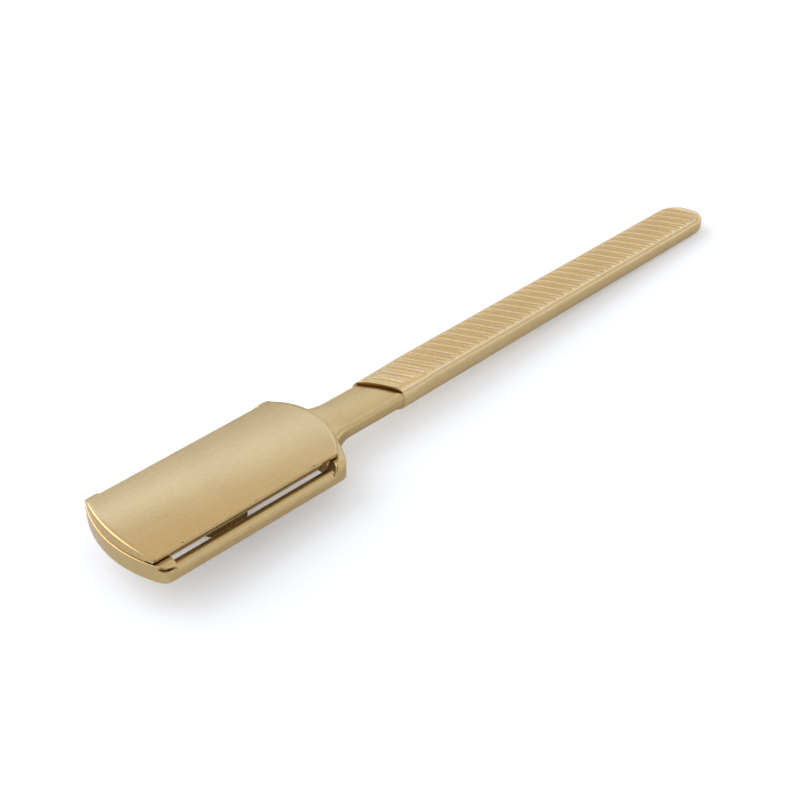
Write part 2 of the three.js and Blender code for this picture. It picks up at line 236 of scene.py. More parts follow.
only(cover)
bpy.ops.object.mode_set(mode="EDIT")
bpy.ops.mesh.select_all(action="SELECT")
bpy.ops.mesh.extrude_region_move(TRANSFORM_OT_translate={"value": (0, 0, -COVER_PULL)})
bpy.ops.transform.resize(value=(1, 1, 0), center_override=(0, 0, cover_low.z))
pick(lambda place: place.z < cover_low.z + TINY and abs(place.x - clamp_x) > FOOT_FROM)
bpy.ops.mesh.select_mode(type="FACE")
bpy.ops.mesh.extrude_region_move(TRANSFORM_OT_translate={"value": (0, 0, -FOOT_HEIGHT)})
bpy.ops.mesh.select_mode(type="VERT")
bpy.ops.object.mode_set(mode="OBJECT")
sloped = 0
for corner in cover.data.vertices:
    across = (corner.co.y / cover_half) ** 2
    is_front = corner.co.x < cover_front + COVER_FRONT_BOW * across + FRONT_BAND
    if is_front and corner.co.z < cover_low.z + TINY:
        corner.co.x -= COVER_DRAFT * (1 - across)
        sloped += 1
print("front wall sloped at", sloped, "corners")

# %% Rim of the cover
COVER_RIM = 0.3 * MM
FOOT_RIM = 0.05 * MM
RIM_SHARPNESS = math.radians(40)

bpy.ops.object.mode_set(mode="EDIT")
bpy.ops.mesh.select_all(action="SELECT")
bpy.ops.mesh.normals_make_consistent(inside=False)
for rim, lowest in ((COVER_RIM, cover_low.z + COVER_EDGE / 2), (FOOT_RIM, 0)):
    bpy.ops.mesh.select_all(action="DESELECT")
    bpy.ops.mesh.edges_select_sharp(sharpness=RIM_SHARPNESS)
    bpy.ops.mesh.select_mode(type="EDGE")
    shape = bmesh.from_edit_mesh(cover.data)
    for edge in shape.edges:
        if edge.select and min(corner.co.z for corner in edge.verts) < lowest:
            edge.select_set(False)
    bmesh.update_edit_mesh(cover.data)
    bpy.ops.mesh.bevel(offset=rim, segments=4, affect="EDGES")
bpy.ops.mesh.select_mode(type="VERT")
finish_piece(cover, "cover_plate", "cap", "cover")

# %% [markdown]
# ## Cutting
# The frame and the grip are cut from stock, as on a bench: a block or a round bar is the tool, and a boolean
# modifier joins it, takes it away, or keeps only what both share. A tool always reaches a little past what
# it cuts, because faces that lie exactly on each other leave slivers.

# %% Helpers for cutting
SPARE = 0.05 * MM
CLEAR = 1 * MM


def volume(part):
    """Volume of a closed part in cubic millimetres"""
    shape = bmesh.new()
    shape.from_mesh(part.data)
    amount = shape.calc_volume(signed=True) / MM ** 3
    shape.free()
    return round(amount, 1)


def carve(part, tool, operation):
    """Join a tool to a part, cut it away or keep what they share; the tool is used up"""
    before = volume(part)
    amount = volume(tool)
    apply_modifier(part, "BOOLEAN", operation=operation, solver="MANIFOLD", object=tool)
    bpy.data.objects.remove(tool, do_unlink=True)
    print(operation.lower(), before, "and", amount, "to", volume(part), "mm3")


def block(low, high):
    """A box between two corners, used as stock or as a cutter"""
    start_fresh()
    low, high = Vector(low), Vector(high)
    bpy.ops.mesh.primitive_cube_add(size=1, location=(low + high) / 2, scale=high - low)
    bpy.ops.object.transform_apply(location=True, rotation=True, scale=True)
    return bpy.context.object


print("the cover holds", volume(cover), "mm3 of brass")

# %% [markdown]
# ## The head of the frame
# Head and neck are one casting. The head is another bowed sheet, made thick, with its corners rounded. Its
# shoulders fall away along the long sides, which is done by keeping only what a rounded block shares with
# it. A flat oval scoop then marks each front corner, where the real head shows a small dark crescent.

# %% Head of the frame
BLADE_GAP = 0.3 * MM
FRAME_THICKNESS = 4.2 * MM
FRAME_FRONT_LIP = 1.05 * MM
FRAME_REAR_LIP = 0.3 * MM
FRAME_FRONT_BOW = 3.75 * MM
FRAME_REAR_BOW = 4.2 * MM
FRAME_CORNER = 2.2 * MM

frame_low, frame_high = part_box("guard_frame")
frame_half = frame_high.y
frame_top = cover_low.z - BLADE_GAP
frame_bottom = frame_top - FRAME_THICKNESS
head_front = cover_low.x - FRAME_FRONT_LIP
head_rear = cover_high.x + FRAME_REAR_LIP
guard = bowed_sheet(frame_half, head_front, FRAME_FRONT_BOW, head_rear, FRAME_REAR_BOW,
                    FRAME_CORNER, frame_top, columns=60, rows=2)
only(guard)
bpy.ops.object.mode_set(mode="EDIT")
bpy.ops.mesh.select_all(action="SELECT")
bpy.ops.mesh.extrude_region_move(TRANSFORM_OT_translate={"value": (0, 0, -FRAME_THICKNESS)})
bpy.ops.mesh.select_all(action="SELECT")
bpy.ops.mesh.normals_make_consistent(inside=False)
bpy.ops.object.mode_set(mode="OBJECT")
print("head blank of", volume(guard), "mm3")

# %% Shoulders and corner scoops
SHOULDER = 1.6 * MM
SCOOP_FORWARD = 20.7 * MM
SCOOP_ASIDE = 13.1 * MM
SCOOP_DOWN = 1 * MM
SCOOP_SIZE = (2.4 * MM, 1.2 * MM, 0.32 * MM)
SCOOP_TILT = math.radians(12)
SCOOP_TURN = math.radians(35)

shoulders = block((head_front - 5 * CLEAR, -frame_half - SPARE, frame_bottom - CLEAR),
                  (head_rear + 5 * CLEAR, frame_half + SPARE, frame_top + SPARE))
bpy.ops.object.mode_set(mode="EDIT")
for side in (-1, 1):
    pick(lambda place: place.y * side > frame_half and place.z > frame_top)
    bpy.ops.mesh.bevel(offset=SHOULDER, segments=8, affect="EDGES")
carve(guard, shoulders, "INTERSECT")
for side in (-1, 1):
    start_fresh()
    bpy.ops.mesh.primitive_uv_sphere_add(
        segments=48, ring_count=24, scale=SCOOP_SIZE, rotation=(0, SCOOP_TILT, SCOOP_TURN * side),
        location=(clamp_x - SCOOP_FORWARD, side * SCOOP_ASIDE, frame_top - SCOOP_DOWN))
    bpy.ops.object.transform_apply(location=True, rotation=True, scale=True)
    carve(guard, bpy.context.object, "DIFFERENCE")
print("head with shoulders has", len(guard.data.polygons), "faces")

# %% [markdown]
# ## Slots and guard bars
# Along each long side a slot goes right through the head, and a low rounded bar guards the blade's edge. The
# whole side is cut away first, and the bar is put back as a piece of its own, because it is lower than the
# head and rounder. At the rear a slanted block leaves the short ramp where bar and head meet.

# %% Slots and guard bars
SLOT_FRONT = 18.85 * MM
SLOT_REAR = 19.75 * MM
SPINE_HALF = 7.7 * MM
GUARD_HEIGHT = 2.85 * MM
GUARD_WIDTH = 2.7 * MM
GUARD_INNER_ROUND = 0.8 * MM
GUARD_OUTER_ROUND = 1.3 * MM
RAMP_LENGTH = 1.75 * MM
RAMP_OVERLAP = 0.1 * MM
RAMP_INSIDE = 0.3 * MM

guard_top = frame_bottom + GUARD_HEIGHT
guard_inner = frame_half - GUARD_WIDTH
outside = frame_half * 1.1
slot_from = clamp_x - SLOT_FRONT
slot_to = clamp_x + SLOT_REAR
for side in (-1, 1):
    near, far = sorted((side * SPINE_HALF, side * outside))
    slot = block((slot_from, near, frame_bottom - CLEAR), (slot_to, far, frame_top + CLEAR))
    carve(guard, slot, "DIFFERENCE")
    near, far = sorted((side * (guard_inner - RAMP_INSIDE), side * outside))
    ramp = block((slot_to - RAMP_OVERLAP, near, guard_top),
                 (slot_to + RAMP_LENGTH, far, frame_top + CLEAR))
    bpy.ops.object.mode_set(mode="EDIT")
    pick(lambda place: place.x > slot_to + SPARE and place.z < guard_top + SPARE)
    bpy.ops.transform.translate(value=(-RAMP_LENGTH, 0, 0))
    bpy.ops.object.mode_set(mode="OBJECT")
    carve(guard, ramp, "DIFFERENCE")
    near, far = sorted((side * guard_inner, side * frame_half))
    bar = block((slot_from - CLEAR, near, frame_bottom), (slot_to + CLEAR, far, guard_top))
    bpy.ops.object.mode_set(mode="EDIT")
    for edge_y, radius in ((guard_inner, GUARD_INNER_ROUND), (frame_half, GUARD_OUTER_ROUND)):
        pick(lambda place: place.z > guard_top - SPARE and abs(abs(place.y) - edge_y) < SPARE)
        bpy.ops.mesh.bevel(offset=radius, segments=10, affect="EDGES")
    bpy.ops.object.mode_set(mode="OBJECT")
    carve(guard, bar, "UNION")
print("slots run from", round(slot_from / MM, 2), "to", round(slot_to / MM, 2), "mm")

# %% [markdown]
# ## The neck
# The neck is a rounded bar that swells into the head along a fillet on each side. The bar is cut into
# columns, and each column is widened to follow the fillet's arc. Its top gets a slight crown, and its end is
# slanted like the grip's mouth, a little way inside it.

# %% Bar of the neck
NECK_WIDTH = 9.7 * MM
NECK_ROUNDING = 1.3 * MM
NECK_FILLET = 7 * MM
NECK_LENGTH = 42.8 * MM
NECK_TUCK = 1.9 * MM
NECK_COLUMNS = 12
NECK_ROWS = (-2.8 * MM, -1.4 * MM, 0, 1.4 * MM, 2.8 * MM)

rear_radius = (frame_half ** 2 + FRAME_REAR_BOW ** 2) / (2 * FRAME_REAR_BOW)
rear_centre = head_rear - rear_radius
fillet_y = NECK_WIDTH / 2 + NECK_FILLET
fillet_x = rear_centre + math.sqrt((rear_radius + NECK_FILLET) ** 2 - fillet_y ** 2)
touch = math.atan2(fillet_y, fillet_x - rear_centre)
mouth_x = clamp_x + NECK_LENGTH
neck_start = slot_to + NECK_ROUNDING
neck_end = mouth_x + NECK_TUCK
neck = block((neck_start, -NECK_WIDTH / 2, frame_bottom), (neck_end, NECK_WIDTH / 2, frame_top))
bpy.ops.object.mode_set(mode="EDIT")
pick_edges(lambda first, second: abs(first.x - second.x) > CLEAR)
bpy.ops.mesh.bevel(offset=NECK_ROUNDING, segments=8, affect="EDGES")
bpy.ops.mesh.select_mode(type="VERT")
for y in NECK_ROWS:
    bpy.ops.mesh.select_all(action="SELECT")
    bpy.ops.mesh.bisect(plane_co=(0, y, 0), plane_no=(0, 1, 0))
swells = []
for i in range(NECK_COLUMNS + 1):
    angle = touch + (math.pi / 2 - touch) * i / NECK_COLUMNS
    x = fillet_x - NECK_FILLET * math.cos(angle)
    swells.append((x, (fillet_y - NECK_FILLET * math.sin(angle)) / (NECK_WIDTH / 2)))
    bpy.ops.mesh.select_all(action="SELECT")
    bpy.ops.mesh.bisect(plane_co=(x, 0, 0), plane_no=(1, 0, 0))
neck_from = swells[0][0]
print("neck leaves the head at x =", round(neck_from / MM, 2), "mm and is straight from",
      round(fillet_x / MM, 2), "mm")

# %% Swell, crown and slanted end of the neck
NECK_RISE = 0.25 * MM
NECK_CROWN = 0.65 * MM
MOUTH_ANGLE = math.radians(31)
MOUTH_SLANT = math.tan(MOUTH_ANGLE)

swells.insert(0, (neck_start, rear_radius * math.sin(touch) / (NECK_WIDTH / 2)))
for x, swell in swells:
    pick(lambda place: abs(place.x - x) < 2 * TINY)
    bpy.ops.transform.resize(value=(1, swell, 1), center_override=(x, 0, 0))
bpy.ops.object.mode_set(mode="OBJECT")
for corner in neck.data.vertices:
    if corner.co.z > frame_top - FRAME_THICKNESS / 2:
        share = min(1, max(0, (corner.co.x - neck_from) / (fillet_x - neck_from)))
        across = min(1, abs(corner.co.y) / (NECK_WIDTH / 2))
        corner.co.z += share * (NECK_RISE - NECK_CROWN * across ** 2)
    if corner.co.x > neck_end - TINY:
        corner.co.x -= MOUTH_SLANT * corner.co.y
print("neck of", volume(neck), "mm3")

# %% [markdown]
# ## One skin for the casting
# Head, bars and neck are joined, and the holes for the stud and the two pins are drilled. Then the casting
# gets one new even skin of tiny squares, which is smoothed a few times, so that every edge takes the same
# small softness as a tumbled casting. Last, faces that flat places don't need are taken out.

# %% Join, drill and give the frame an even skin
STUD_HOLE = 2.65 * MM
PIN_HOLE = 1.45 * MM
PIN_SPAN = 15 * MM
FRAME_SKIN = 0.16 * MM
MOST_FACES = 96000


def drill(x, radius, bottom, top, sides=64):
    """A round bar or cutter about an upright axis on the tool's middle line"""
    start_fresh()
    bpy.ops.mesh.primitive_cylinder_add(
        vertices=sides, radius=radius, depth=top - bottom, location=(x, 0, (bottom + top) / 2))
    bpy.ops.object.transform_apply(location=True, rotation=True, scale=True)
    return bpy.context.object


def even_skin(part, square, rounds):
    """Give a part one even skin, ease its edges and take out the faces that it doesn't need"""
    apply_modifier(part, "REMESH", mode="VOXEL", voxel_size=square)
    apply_modifier(part, "SMOOTH", factor=0.5, iterations=rounds)
    apply_modifier(part, "DECIMATE", ratio=min(1, MOST_FACES / len(part.data.polygons)))


carve(guard, neck, "UNION")
holes = ((clamp_x, STUD_HOLE), (clamp_x - PIN_SPAN, PIN_HOLE), (clamp_x + PIN_SPAN, PIN_HOLE))
for x, radius in holes:
    carve(guard, drill(x, radius, frame_bottom - CLEAR, frame_top + CLEAR), "DIFFERENCE")
even_skin(guard, FRAME_SKIN, rounds=5)
finish_piece(guard, "frame_casting", "handle", "guard_frame", angle=60)

# %% [markdown]
# ## The bar of the grip
# The grip is a flat bar with a crowned top and underside and a rounded nose. It starts as a box of half
# width and half height 1, cut into rows across it and columns along it. Each row is then moved up or down
# to draw the section, and the columns near the end are drawn in to make the nose. That gives exact control
# of the section, which a bevelled box doesn't. At the mouth the upper corners are rounder than elsewhere.

# %% Levels along the grip
GRIP_WIDTH = 10.2 * MM
GRIP_END_WIDTH = 9.8 * MM
GRIP_HEIGHT = 6.2 * MM
GRIP_END_HEIGHT = 4.7 * MM
GRIP_RISE = 0.2 * MM
GRIP_STEP = 1.12 * MM
GRIP_CROWN = 0.1 * MM
GRIP_TAIL = 3.1 * MM
MOUTH_GAP = 0.15 * MM
RIB_COUNT = 37
RIB_PITCH = 2.65 * MM

grip_length = RIB_COUNT * RIB_PITCH + GRIP_TAIL
grip_start = mouth_x + MOUTH_GAP
grip_top = frame_top + GRIP_STEP


def top_at(distance):
    """Level of the grip's crown at a distance from its mouth"""
    return grip_top + GRIP_RISE * distance / grip_length


def underside_at(distance):
    """Level of the grip's underside at a distance from its mouth"""
    height = GRIP_HEIGHT + (GRIP_END_HEIGHT - GRIP_HEIGHT) * distance / grip_length
    return top_at(distance) - height


def fall_at(across, corner):
    """How far the top has fallen below the crown, at a share of the half width"""
    half = GRIP_WIDTH / 2
    flat = half - corner
    y = abs(across) * half
    if y <= flat:
        return GRIP_CROWN * (y / flat) ** 2
    return GRIP_CROWN + corner * (1 - math.sqrt(max(0, 1 - ((y - flat) / corner) ** 2)))


print("grip is", round(grip_length / MM, 2), "mm long and rises to", round(grip_top / MM, 2), "mm")

# %% Rows and columns of the bar
GRIP_NOSE = 5.2 * MM
HALF_ROWS = 16
NOSE_STEPS = 14
NOSE_TURN = math.radians(86)

rows = [math.sin(math.pi / 2 * i / HALF_ROWS) for i in range(-HALF_ROWS, HALF_ROWS + 1)]
columns = [0, GRIP_WIDTH, grip_length - GRIP_NOSE]
shares = [1, 1, 1]
for i in range(1, NOSE_STEPS + 1):
    angle = NOSE_TURN * i / NOSE_STEPS
    shares.append(math.cos(angle))
    columns.append(grip_length - GRIP_NOSE + GRIP_NOSE * math.sin(angle) / math.sin(NOSE_TURN))
grip = block((0, -1, -1), (grip_length, 1, 1))
bpy.ops.object.mode_set(mode="EDIT")
for row in rows[1:-1]:
    bpy.ops.mesh.select_all(action="SELECT")
    bpy.ops.mesh.bisect(plane_co=(0, row, 0), plane_no=(0, 1, 0))
for column in columns[1:-1]:
    bpy.ops.mesh.select_all(action="SELECT")
    bpy.ops.mesh.bisect(plane_co=(column, 0, 0), plane_no=(1, 0, 0))
print("bar has", len(rows), "rows and", len(columns), "columns")

# %% Section, taper and nose of the bar
GRIP_CORNER = 2 * MM
GRIP_MOUTH_CORNER = 2.8 * MM
NOSE_THINNING = 0.6
NOSE_SLANT = math.tan(math.radians(17))
ROW_MATCH = 1e-5

for row in rows:
    for side in (-1, 1):
        mouth_corner = GRIP_MOUTH_CORNER if side > 0 else GRIP_CORNER
        for at_mouth, corner in ((True, mouth_corner), (False, GRIP_CORNER)):
            half_height = GRIP_HEIGHT / 2 - fall_at(row, corner)
            pick(lambda place: abs(place.y - row) < ROW_MATCH and place.z * side > 0
                 and (place.x < SPARE) == at_mouth)
            bpy.ops.transform.resize(value=(1, 1, half_height), center_override=(0, 0, 0))
bpy.ops.mesh.select_all(action="SELECT")
bpy.ops.transform.resize(value=(1, GRIP_WIDTH / 2, 1), center_override=(0, 0, 0))
for column, share in zip(columns, shares):
    width = share * (1 + (GRIP_END_WIDTH / GRIP_WIDTH - 1) * column / grip_length)
    height = (top_at(column) - underside_at(column)) / GRIP_HEIGHT
    height *= 1 - NOSE_THINNING * (1 - share)
    middle = (top_at(column) + underside_at(column)) / 2
    pick(lambda place: abs(place.x - column) < 2 * TINY)
    bpy.ops.transform.resize(value=(1, width, height), center_override=(column, 0, 0))
    bpy.ops.transform.translate(value=(0, 0, middle))
bpy.ops.object.mode_set(mode="OBJECT")
for corner in grip.data.vertices:
    slant = 0
    if corner.co.x < CLEAR:
        slant = MOUTH_SLANT
    if corner.co.x > GRIP_WIDTH + CLEAR:
        slant = NOSE_SLANT
    corner.co.x += grip_start - slant * corner.co.y
print("bar of", volume(grip), "mm3 runs from x =", round(grip_start / MM, 2), "mm to",
      round((grip_start + grip_length) / MM, 2), "mm")

# %% [markdown]
# ## The mouth of the grip
# Where the neck goes into the grip, the real tool shows a thin lip with a dark line under it. A flat oval
# pocket, slanted like the mouth, is cut in above the neck, so that the line is a real hollow in shade and
# not a painted one. The oval starts as a round bar of radius 1, whose corners are then put in their places.

# %% Hollow the mouth
MOUTH_LIP = 0.34 * MM
POCKET_DEPTH = 1.1 * MM
POCKET_HALF = 4.4 * MM
POCKET_DOWN = 0.2 * MM

pocket_level = frame_top - POCKET_DOWN
pocket_height = grip_top - MOUTH_LIP - pocket_level
pocket = drill(0, 1, -CLEAR, POCKET_DEPTH)
for corner in pocket.data.vertices:
    across = POCKET_HALF * corner.co.x
    level = pocket_level + pocket_height * corner.co.y
    corner.co = (grip_start + corner.co.z - MOUTH_SLANT * across, across, level)
carve(grip, pocket, "DIFFERENCE")
print("pocket", round(POCKET_DEPTH / MM, 2), "mm deep under a lip of", round(MOUTH_LIP / MM, 2), "mm")

# %% [markdown]
# ## The ribs
# The ribs are what is left between shallow grooves, each scooped by a slanted round bar, above and below.
# Neighbouring grooves just meet, so they are cut in two turns, every second one at a time. The first few are
# shallower, as on the real grip, where the ribs fade in behind the mouth.

# %% Scoop the ribs
RIB_RADIUS = 1.57 * MM
RIB_DEPTH = 0.42 * MM
RIB_FADE = 6
RIB_FADE_DEPTH = 0.2 * MM
RIB_SIDES = 72
GRIP_SKIN = 0.1 * MM

for turn in range(2):
    scoops = []
    for i in range(turn, RIB_COUNT, 2):
        distance = RIB_PITCH * (i + 0.5)
        depth = RIB_FADE_DEPTH + (RIB_DEPTH - RIB_FADE_DEPTH) * min(1, i / RIB_FADE)
        levels = (top_at(distance) - depth + RIB_RADIUS, underside_at(distance) + depth - RIB_RADIUS)
        for level in levels:
            start_fresh()
            bpy.ops.mesh.primitive_cylinder_add(
                vertices=RIB_SIDES, radius=RIB_RADIUS, depth=3 * GRIP_WIDTH,
                rotation=(math.pi / 2, 0, MOUTH_ANGLE), location=(grip_start + distance, 0, level))
            scoops.append(bpy.context.object)
    start_fresh()
    for scoop in scoops:
        scoop.select_set(True)
    bpy.context.view_layer.objects.active = scoops[0]
    bpy.ops.object.join()
    bpy.ops.object.transform_apply(location=True, rotation=True, scale=True)
    carve(grip, bpy.context.object, "DIFFERENCE")
    print("scooped", len(scoops), "grooves")
even_skin(grip, GRIP_SKIN, rounds=3)
finish_piece(grip, "ribbed_grip", "handle", "grip", angle=60)

# %% [markdown]
# ## The blade
# The blade is a standard double-edge one: a thin steel sheet with a long slot, a hole for the stud and one
# for each pin, and tabs at its ends that are narrower than the rest. The sheet is cut along two lines near
# its long sides, and the outer corners are pressed almost flat there, which makes the ground edges.

# %% Blade
BLADE_EDGE = 18.65 * MM
BLADE_TAB = 6.5 * MM
BLADE_SLOT = 0.8 * MM
BLADE_GRIND = 0.9 * MM
EDGE_THINNING = 0.1
THIN_SHEET_MATCH = 1e-6

blade_low, blade_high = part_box("blade")
blade_middle = (blade_low.z + blade_high.z) / 2
blade = block((clamp_x - BLADE_EDGE, blade_low.y, blade_low.z),
              (clamp_x + BLADE_EDGE, blade_high.y, blade_high.z))
bpy.ops.object.mode_set(mode="EDIT")
for side in (-1, 1):
    bpy.ops.mesh.select_all(action="SELECT")
    bpy.ops.mesh.bisect(plane_co=(0, side * (blade_high.y - BLADE_GRIND), 0), plane_no=(0, 1, 0),
                        threshold=THIN_SHEET_MATCH)
pick(lambda place: abs(place.y) > blade_high.y - SPARE)
bpy.ops.transform.resize(value=(1, 1, EDGE_THINNING), center_override=(0, 0, blade_middle))
bpy.ops.object.mode_set(mode="OBJECT")
tabs = block((blade_low.x, -BLADE_TAB, blade_low.z), (blade_high.x, BLADE_TAB, blade_high.z))
carve(blade, tabs, "UNION")
slot = block((clamp_x - PIN_SPAN, -BLADE_SLOT, blade_low.z - SPARE),
             (clamp_x + PIN_SPAN, BLADE_SLOT, blade_high.z + SPARE))
carve(blade, slot, "DIFFERENCE")
for x, radius in holes:
    carve(blade, drill(x, radius, blade_low.z - SPARE, blade_high.z + SPARE), "DIFFERENCE")
finish_piece(blade, "ground_blade", "blade", "blade", angle=2)

# %% [markdown]
# ## The threaded stud
# The stud hangs under the cover and shows only when the tool is taken apart. A round bar is cut into many
# rings, and each corner is moved in by how far it stands round and along the thread. The thread fades into
# a plain shank at the top, and the tip has a chamfer that guides it into the nut.

# %% Threaded stud
THREAD_PITCH = 0.8 * MM
THREAD_DEPTH = 0.42 * MM
STUD_PLAIN = 1.2 * MM
STUD_CHAMFER = 0.5 * MM
STUD_SIDES = 48
STUD_RINGS = 110

stud_low, stud_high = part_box("clamp_stud")
stud_radius = (stud_high.x - stud_low.x) / 2
stud = drill(clamp_x, stud_radius, stud_low.z, stud_high.z, sides=STUD_SIDES)
bpy.ops.object.mode_set(mode="EDIT")
pick_edges(lambda first, second: abs(first.z - second.z) > SPARE)
bpy.ops.mesh.subdivide(number_cuts=STUD_RINGS)
bpy.ops.mesh.select_mode(type="VERT")
bpy.ops.object.mode_set(mode="OBJECT")
for corner in stud.data.vertices:
    turn = math.atan2(corner.co.y, corner.co.x - clamp_x) / (2 * math.pi)
    phase = ((corner.co.z - stud_low.z) / THREAD_PITCH - turn) % 1
    fade = min(1, max(0, (stud_high.z - STUD_PLAIN - corner.co.z) / THREAD_PITCH))
    radius = stud_radius - THREAD_DEPTH * fade * abs(2 * phase - 1)
    radius = min(radius, stud_radius - STUD_CHAMFER + corner.co.z - stud_low.z)
    corner.co.x = clamp_x + (corner.co.x - clamp_x) * radius / stud_radius
    corner.co.y *= radius / stud_radius
finish_piece(stud, "threaded_stud", "cap", "clamp_stud", angle=40)

# %% [markdown]
# ## Satin metal
# The tool is brass with a satin finish: a fine grain, brushed lengthwise, with soft broad highlights. The
# colour varies a little from place to place, the roughness follows the brushing, and a very shallow bump
# makes the grain. A few tiny dark specks break the surface, as on the real one. All of it is drawn by noise
# that reads the place on the piece, so nothing has to be unwrapped. Scales are counted to the metre.

# %% Colours and small node helpers
def linear(red, green, blue):
    """A colour as seen on a screen, from 0 to 255, as the light that it stands for"""
    return tuple(
        v / 12.92 if v <= 0.04045 else ((v + 0.055) / 1.055) ** 2.4
        for v in (red / 255, green / 255, blue / 255)) + (1,)


def add_noise(tree, place, scale, detail):
    """Noise that reads a place, from 0 to 1"""
    noise = tree.nodes.new("ShaderNodeTexNoise")
    noise.inputs["Scale"].default_value = scale
    noise.inputs["Detail"].default_value = detail
    tree.links.new(place, noise.inputs["Vector"])
    return noise.outputs["Fac"]


def add_mix(tree, share, first, second):
    """A fixed share of a second value in a first one"""
    mix = tree.nodes.new("ShaderNodeMix")
    mix.inputs[0].default_value = share
    tree.links.new(first, mix.inputs[2])
    tree.links.new(second, mix.inputs[3])
    return mix.outputs[0]


def add_range(tree, value, low, high, new_low, new_high):
    """A value between two bounds, moved to lie between two others"""
    span = tree.nodes.new("ShaderNodeMapRange")
    bounds = {"From Min": low, "From Max": high, "To Min": new_low, "To Max": new_high}
    for name, bound in bounds.items():
        span.inputs[name].default_value = bound
    tree.links.new(value, span.inputs["Value"])
    return span.outputs["Result"]


def add_scaled(tree, colour, factor):
    """A colour made darker or lighter by a factor"""
    scaled = tree.nodes.new("ShaderNodeVectorMath")
    scaled.operation = "SCALE"
    tree.links.new(colour, scaled.inputs["Vector"])
    tree.links.new(factor, scaled.inputs["Scale"])
    return scaled.outputs["Vector"]


print("brass on a screen 206, 178, 126 is", [round(v, 3) for v in linear(206, 178, 126)[:3]])

# %% Satin metal
BRUSH_STROKES = (60, 1800, 1800)
GRAIN_SCALE = 1500
CLOUD_SCALE = 110
SPECK_SCALE = 240
SPECK_SIZE = (0.02, 0.045)
SPECK_DARKNESS = 0.55
BRUSH_SHARE = 0.3
CLOUD_SHARE = 0.35
TONE_SPREAD = 0.18
ROUGHNESS_SPREAD = 0.05
BUMP_STRENGTH = 0.12
BUMP_HEIGHT = 0.05 * MM


def satin_metal(name, colour, roughness=0.3, brushing=1.0):
    """Brushed satin metal in a given tone"""
    material = bpy.data.materials.new(name)
    material.use_nodes = True
    tree = material.node_tree
    nodes, links = tree.nodes, tree.links
    shader = nodes["Principled BSDF"]
    shader.inputs["Metallic"].default_value = 1
    place = nodes.new("ShaderNodeTexCoord").outputs["Object"]
    along = nodes.new("ShaderNodeMapping")
    along.inputs["Scale"].default_value = BRUSH_STROKES
    links.new(place, along.inputs["Vector"])
    brush = add_noise(tree, along.outputs["Vector"], 1, 3)
    grain = add_noise(tree, place, GRAIN_SCALE, 2)
    cloud = add_noise(tree, place, CLOUD_SCALE, 2)
    mottle = add_mix(tree, BRUSH_SHARE, grain, brush)
    tone = nodes.new("ShaderNodeMix")
    tone.data_type = "RGBA"
    tone.inputs[6].default_value = tuple(c * (1 - TONE_SPREAD) for c in colour[:3]) + (1,)
    tone.inputs[7].default_value = tuple(min(1, c * (1 + TONE_SPREAD)) for c in colour[:3]) + (1,)
    links.new(add_mix(tree, CLOUD_SHARE, mottle, cloud), tone.inputs[0])
    cells = nodes.new("ShaderNodeTexVoronoi")
    cells.inputs["Scale"].default_value = SPECK_SCALE
    links.new(place, cells.inputs["Vector"])
    speck = add_range(tree, cells.outputs["Distance"], *SPECK_SIZE, SPECK_DARKNESS, 1)
    links.new(add_scaled(tree, tone.outputs[2], speck), shader.inputs["Base Color"])
    rough = add_range(tree, brush, 0, 1, roughness - ROUGHNESS_SPREAD, roughness + ROUGHNESS_SPREAD)
    links.new(rough, shader.inputs["Roughness"])
    height = nodes.new("ShaderNodeMath")
    height.operation = "ADD"
    links.new(brush, height.inputs[0])
    links.new(grain, height.inputs[1])
    bump = nodes.new("ShaderNodeBump")
    bump.inputs["Strength"].default_value = BUMP_STRENGTH * brushing
    bump.inputs["Distance"].default_value = BUMP_HEIGHT
    links.new(height.outputs["Value"], bump.inputs["Height"])
    links.new(bump.outputs["Normal"], shader.inputs["Normal"])
    return material


def wear(part, material):
    """Give a piece one material all over"""
    part.data.materials.clear()
    part.data.materials.append(material)


wear(cover, satin_metal("cover brass", linear(206, 178, 126), roughness=0.2))
wear(guard, satin_metal("frame brass", linear(206, 178, 125)))
# The grip's brass is painted lighter than the frame's: painted light on the grip's sides and ribs.
wear(grip, satin_metal("grip brass painted lighter", linear(222, 194, 142), roughness=0.22))
print("satin brass on", cover.name, guard.name, grip.name)

# %% [markdown]
# ## Finishes of the small parts
# Pins, washer and nut are plain turned pieces, so their measured solids stay and only get a finish. The stud
# goes with the pins. The nut's brass is painted darker, as painted shade for the shadow that it lies in
# under the head, and it is duller; the blade is bright rolled steel with a fainter grain.

# %% Finishes of the small parts
turned_brass = satin_metal("turned brass", linear(212, 180, 127), roughness=0.3)
# The nut's colour is painted dark: painted shade for the shadow under the head; the real nut is the same
# brass.
nut_brass_painted_shade = satin_metal("nut brass painted dark as shade", linear(150, 111, 62), roughness=0.42)
blade_steel = satin_metal("blade steel", linear(210, 212, 216), roughness=0.24, brushing=0.5)
wear(stud, turned_brass)
for node in ("locating_pin_front", "locating_pin_rear", "clamp_washer", "grip_pin"):
    wear(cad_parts[node], turned_brass)
wear(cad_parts["thumb_nut"], nut_brass_painted_shade)
wear(blade, blade_steel)
print("all finished:", ", ".join(sorted(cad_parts)))

# %% [markdown]
# ## The table
# The tool rests on the rim of its nut and on the end of its grip, so it leans a little. The model keeps its
# own straight axes, so here the table leans instead: it is the plane through the nut's rim that first meets
# the grip. Its paper is matte, with a faint glow that only the camera sees. That makes the ground white
# without more light on the tool, and it still takes the tool's shadow.

# %% Table
NUT_FOOT = 5.4 * MM
TABLE_SIZE = 6
TABLE_TONE = (0.88, 0.9, 0.925, 1)
TABLE_GLOW = 0.29

